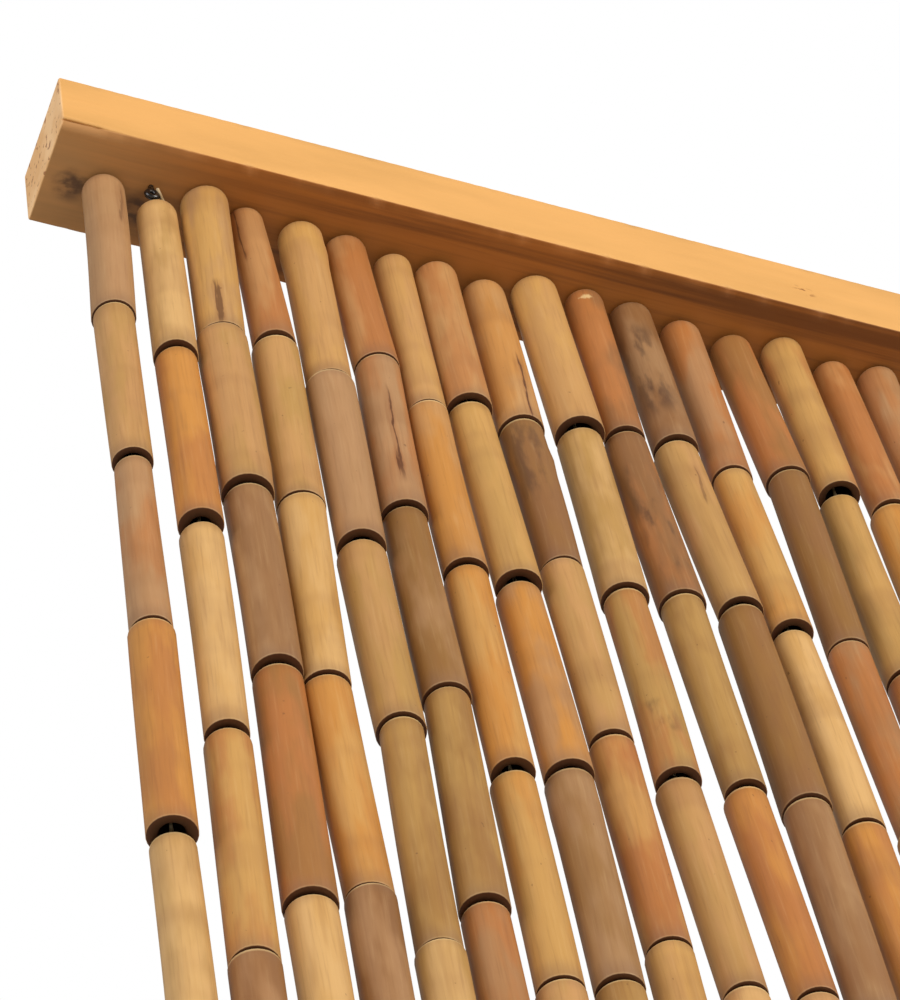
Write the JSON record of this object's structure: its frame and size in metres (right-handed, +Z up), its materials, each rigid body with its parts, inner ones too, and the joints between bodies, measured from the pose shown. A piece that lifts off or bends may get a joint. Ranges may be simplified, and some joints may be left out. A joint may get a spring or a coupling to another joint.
{
  "type": "bamboo door curtain and header bar",
  "caption": "Door curtain of bamboo tubes threaded on hanging strands, side by side under a plain wooden header bar.",
  "frame": {"origin": "middle of the header bar's top face", "axes": "+Z up, out of the bar's top face; +X along the bar, to the right of someone who faces the front; +Y to the back, towards the wall or the lining of the doorway; the front looks along -Y"},
  "size_m": [0.9, 0.0244, 2],
  "materials": {
    "header_wood": "thin honey-coloured varnish on planed softwood, satin",
    "bamboo": "natural dried bamboo skin, satin, tan to brown",
    "eye_wire": "black lacquered steel wire, glossy, for the small eyes that the render adds",
    "strand_cord": "unbleached twisted jute cord, dull, for the cords and knots that the render adds"
  },
  "bodies": {
    "root": {"header_bar": "header_wood", "bamboo_strands": "bamboo"}
  },
  "joints": []
}
